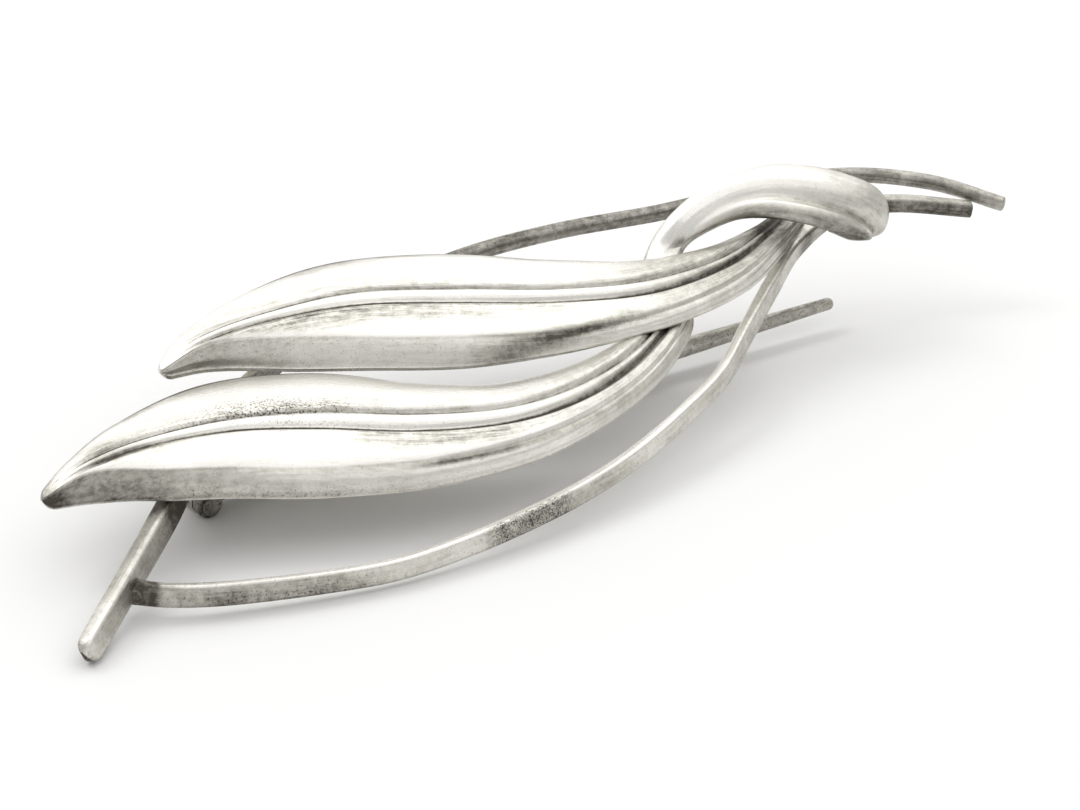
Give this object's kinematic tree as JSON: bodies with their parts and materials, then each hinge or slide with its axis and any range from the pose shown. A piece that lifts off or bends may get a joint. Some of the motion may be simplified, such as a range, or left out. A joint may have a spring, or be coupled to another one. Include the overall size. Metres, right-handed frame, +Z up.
{
  "type": "leaf brooch",
  "caption": "Spray brooch: two grooved leaves on long wire stems bound by a wrap, with a hinged pin and an open catch behind.",
  "frame": {"origin": "on the surface the brooch lies on, under the middle of its outline", "axes": "+X along the spray, from the leaf tips to the stem ends; +Y towards the back leaf; +Z up from the surface, out of the brooch's face"},
  "size_m": [0.0826, 0.027, 0.0127],
  "materials": {
    "spray_silver": "worn sterling silver, satin, dark tarnish in the grooves and along the lower edges",
    "pin_silver": "dull worn sterling silver"
  },
  "bodies": {
    "brooch": {"leaf_spray": "spray_silver", "hinge_rivet": "pin_silver"},
    "pin": {"pin_stem": "pin_silver"}
  },
  "joints": [
    {"name": "pin_swing", "type": "hinge", "parent": "brooch", "child": "pin", "pos_m": [-0.02401, 0.00457, 0.00091], "axis": [0.1511, 0.9885, 0.009], "range_deg": [0, 80]}
  ]
}
